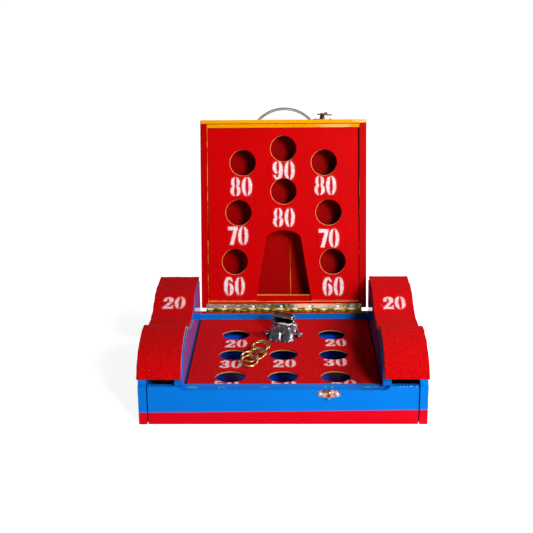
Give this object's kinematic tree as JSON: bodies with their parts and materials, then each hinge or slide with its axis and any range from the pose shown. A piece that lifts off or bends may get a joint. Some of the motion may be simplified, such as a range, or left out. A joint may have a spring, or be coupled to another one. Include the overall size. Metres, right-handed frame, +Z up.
{
  "type": "frog toss game",
  "caption": "Boxed ring toss game: felt toss board with a cast frog, S-shaped felt shoulders, a ring drawer, and a deep target lid that closes over the board with a hook latch.",
  "frame": {"origin": "centre of the case's underside, on the surface that the game stands on", "axes": "+Y from the player's side to the hinge side, +X to the player's right, +Z up"},
  "size_m": [0.433, 0.4856, 0.4042],
  "materials": {
    "blue_paint": "gloss paint on board",
    "red_paint": "satin paint on board",
    "yellow_paint": "gloss paint on board",
    "bare_wood": "raw plywood edge",
    "red_felt": "pressed wool felt",
    "pewter": "cast and rubbed bright",
    "hinge_brass": "tarnished sheet",
    "latch_copper": "coppered and aged",
    "bright_steel": "plated screw heads",
    "chrome_bar": "polished plate",
    "ring_brass": "polished wire"
  },
  "bodies": {
    "base": {"end_board_left": "blue_paint", "end_board_right": "blue_paint", "rear_wall": "blue_paint", "base_floor": "blue_paint", "front_rail": "blue_paint", "wing_inner_board_left": "blue_paint", "wing_inner_board_right": "blue_paint", "wing_back_left": "blue_paint", "wing_back_right": "blue_paint", "wing_ramp_left": "bare_wood", "wing_ramp_right": "bare_wood", "wing_felt_left": "red_felt", "wing_felt_right": "red_felt", "toss_board": "bare_wood", "toss_board_cleats": "bare_wood", "toss_felt": "red_felt", "frog": "pewter", "frog_screws": "hinge_brass", "hinge_leaf_base": "hinge_brass", "hinge_pin": "hinge_brass", "hinge_screws_base": "hinge_brass"},
    "drawer": {"drawer_front": "blue_paint", "drawer_side_left": "blue_paint", "drawer_side_right": "blue_paint", "drawer_back": "blue_paint", "drawer_floor": "blue_paint", "keeper_plate": "latch_copper", "keeper_peg": "latch_copper", "keeper_screws": "bright_steel"},
    "lid": {"lid_side_left": "red_paint", "lid_side_right": "red_paint", "lid_rear_board": "red_paint", "lid_front_board": "yellow_paint", "lid_front_facing": "yellow_paint", "lid_back_panel": "red_paint", "target_panel": "red_paint", "target_cleats": "red_paint", "hinge_leaf_lid": "hinge_brass", "hinge_screws_lid": "hinge_brass", "handle": "chrome_bar", "handle_nuts": "chrome_bar", "latch_plate": "latch_copper", "latch_rivet": "latch_copper", "latch_screws": "bright_steel"},
    "hook": {"latch_hook": "latch_copper"},
    "rings": {"ring_1": "ring_brass", "ring_2": "ring_brass", "ring_3": "ring_brass", "ring_4": "ring_brass", "ring_5": "ring_brass", "ring_6": "ring_brass"}
  },
  "joints": [
    {"name": "lid_hinge", "type": "hinge", "parent": "base", "child": "lid", "pos_m": [0, 0.1704, 0.06215], "axis": [-1, 0, 0], "range_deg": [-103.5, 0]},
    {"name": "drawer_slide", "type": "slide", "parent": "base", "child": "drawer", "axis": [0, -1, 0], "range_m": [0, 0.2]},
    {"name": "hook_swing", "type": "hinge", "parent": "lid", "child": "hook", "pos_m": [0.0685, 0.2507, 0.38719], "axis": [0, 0.2334, 0.9724], "range_deg": [-130, 0]},
    {"name": "rings_slide", "type": "slide", "parent": "base", "child": "rings", "axis": [0, -1, 0], "range_m": [0, 0.06]}
  ]
}
